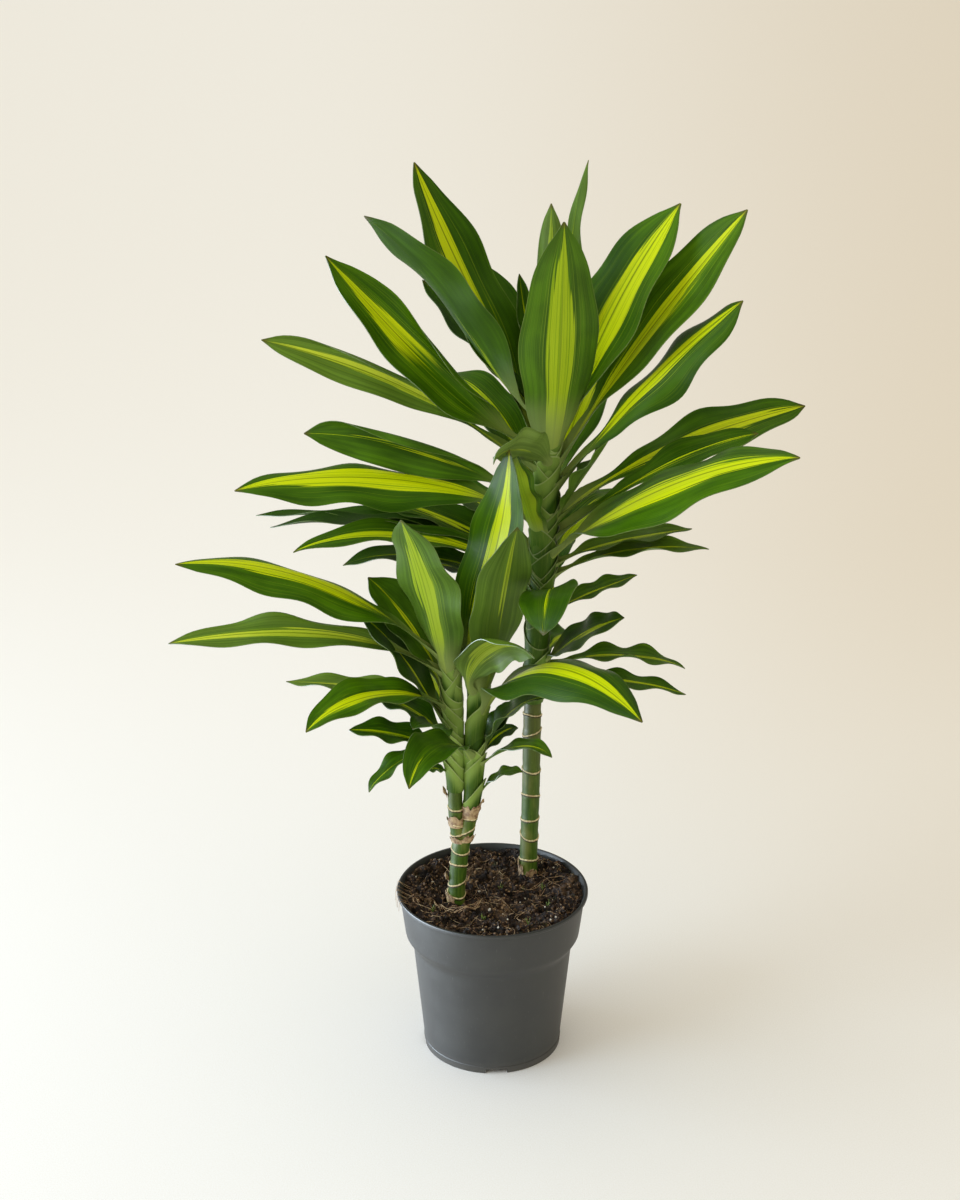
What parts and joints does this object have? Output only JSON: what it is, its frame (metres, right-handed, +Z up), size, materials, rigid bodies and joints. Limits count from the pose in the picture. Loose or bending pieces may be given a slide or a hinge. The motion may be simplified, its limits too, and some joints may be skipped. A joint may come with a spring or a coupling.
{
  "type": "potted corn plant",
  "caption": "Foliage plant with a tall straight cane and a low forked cane, striped waved leaves, in a round tapered nursery pot of soil.",
  "frame": {"origin": "bottom centre of the object's box, which is the centre of the pot's foot on the surface it stands on", "axes": "+Z up, -Y towards the viewer of the picture, +X to the viewer's right"},
  "size_m": [0.5453, 0.3508, 0.7892],
  "materials": {
    "pot_plastic": "matt injection-moulded plastic, slightly scuffed",
    "potting_soil": null,
    "cane": "smooth green bark with pale leaf scars",
    "leaf": null
  },
  "bodies": {
    "root": {"pot": "pot_plastic", "soil": "potting_soil", "cane_tall": "cane", "cane_forked": "cane", "crown_tall": "leaf", "crown_left": "leaf", "crown_right": "leaf"}
  },
  "joints": []
}
